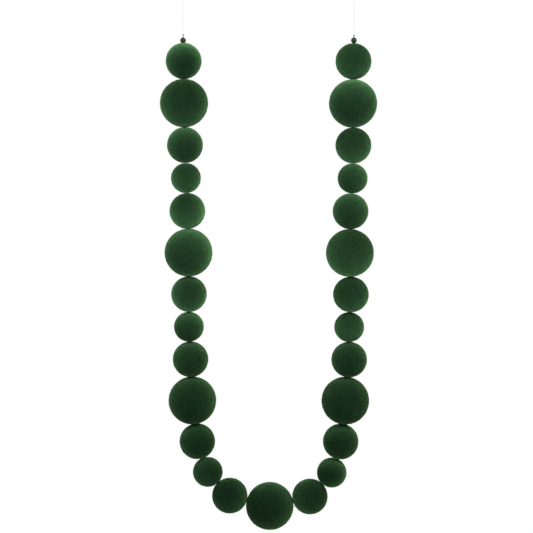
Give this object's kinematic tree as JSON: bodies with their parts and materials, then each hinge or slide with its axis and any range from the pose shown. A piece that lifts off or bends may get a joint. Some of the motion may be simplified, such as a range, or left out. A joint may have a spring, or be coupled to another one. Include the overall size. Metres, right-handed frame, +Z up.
{
  "type": "flocked ball garland",
  "caption": "Garland of round flocked balls in mixed sizes, strung on a cord with a stop bead and loop at each end, hanging in a U from two clear threads.",
  "frame": {"origin": "midway between the two top loops of the hanging threads, level with the tops of the loops", "axes": "+X from the left end of the strand to the right end as seen from the front, +Y away from the viewer, +Z up; the strand hangs in the XZ plane"},
  "size_m": [0.3641, 0.0788, 0.9166],
  "materials": {
    "flock": "short upright dark green flock, matt face on, with a brighter green velvet rim",
    "stringing_cord": "dark green twisted cord, matt",
    "end_bead": "glossy dark green plastic",
    "clear_thread": "clear nylon monofilament"
  },
  "bodies": {
    "root": {"ball_01_medium": "flock", "ball_02_large": "flock", "ball_03_medium": "flock", "ball_04_small": "flock", "ball_05_medium": "flock", "ball_06_large": "flock", "ball_07_medium": "flock", "ball_08_small": "flock", "ball_09_medium": "flock", "ball_10_large": "flock", "ball_11_medium": "flock", "ball_12_small": "flock", "ball_13_medium": "flock", "ball_14_large": "flock", "ball_15_medium": "flock", "ball_16_small": "flock", "ball_17_medium": "flock", "ball_18_large": "flock", "ball_19_medium": "flock", "ball_20_small": "flock", "ball_21_medium": "flock", "ball_22_large": "flock", "ball_23_medium": "flock", "ball_24_small": "flock", "ball_25_medium": "flock", "ball_26_large": "flock", "ball_27_medium": "flock", "stringing_cord": "stringing_cord", "left_end_bead": "end_bead", "right_end_bead": "end_bead", "left_hanging_thread": "clear_thread", "left_lower_knot": "clear_thread", "left_upper_knot": "clear_thread", "right_hanging_thread": "clear_thread", "right_lower_knot": "clear_thread", "right_upper_knot": "clear_thread"}
  },
  "joints": []
}
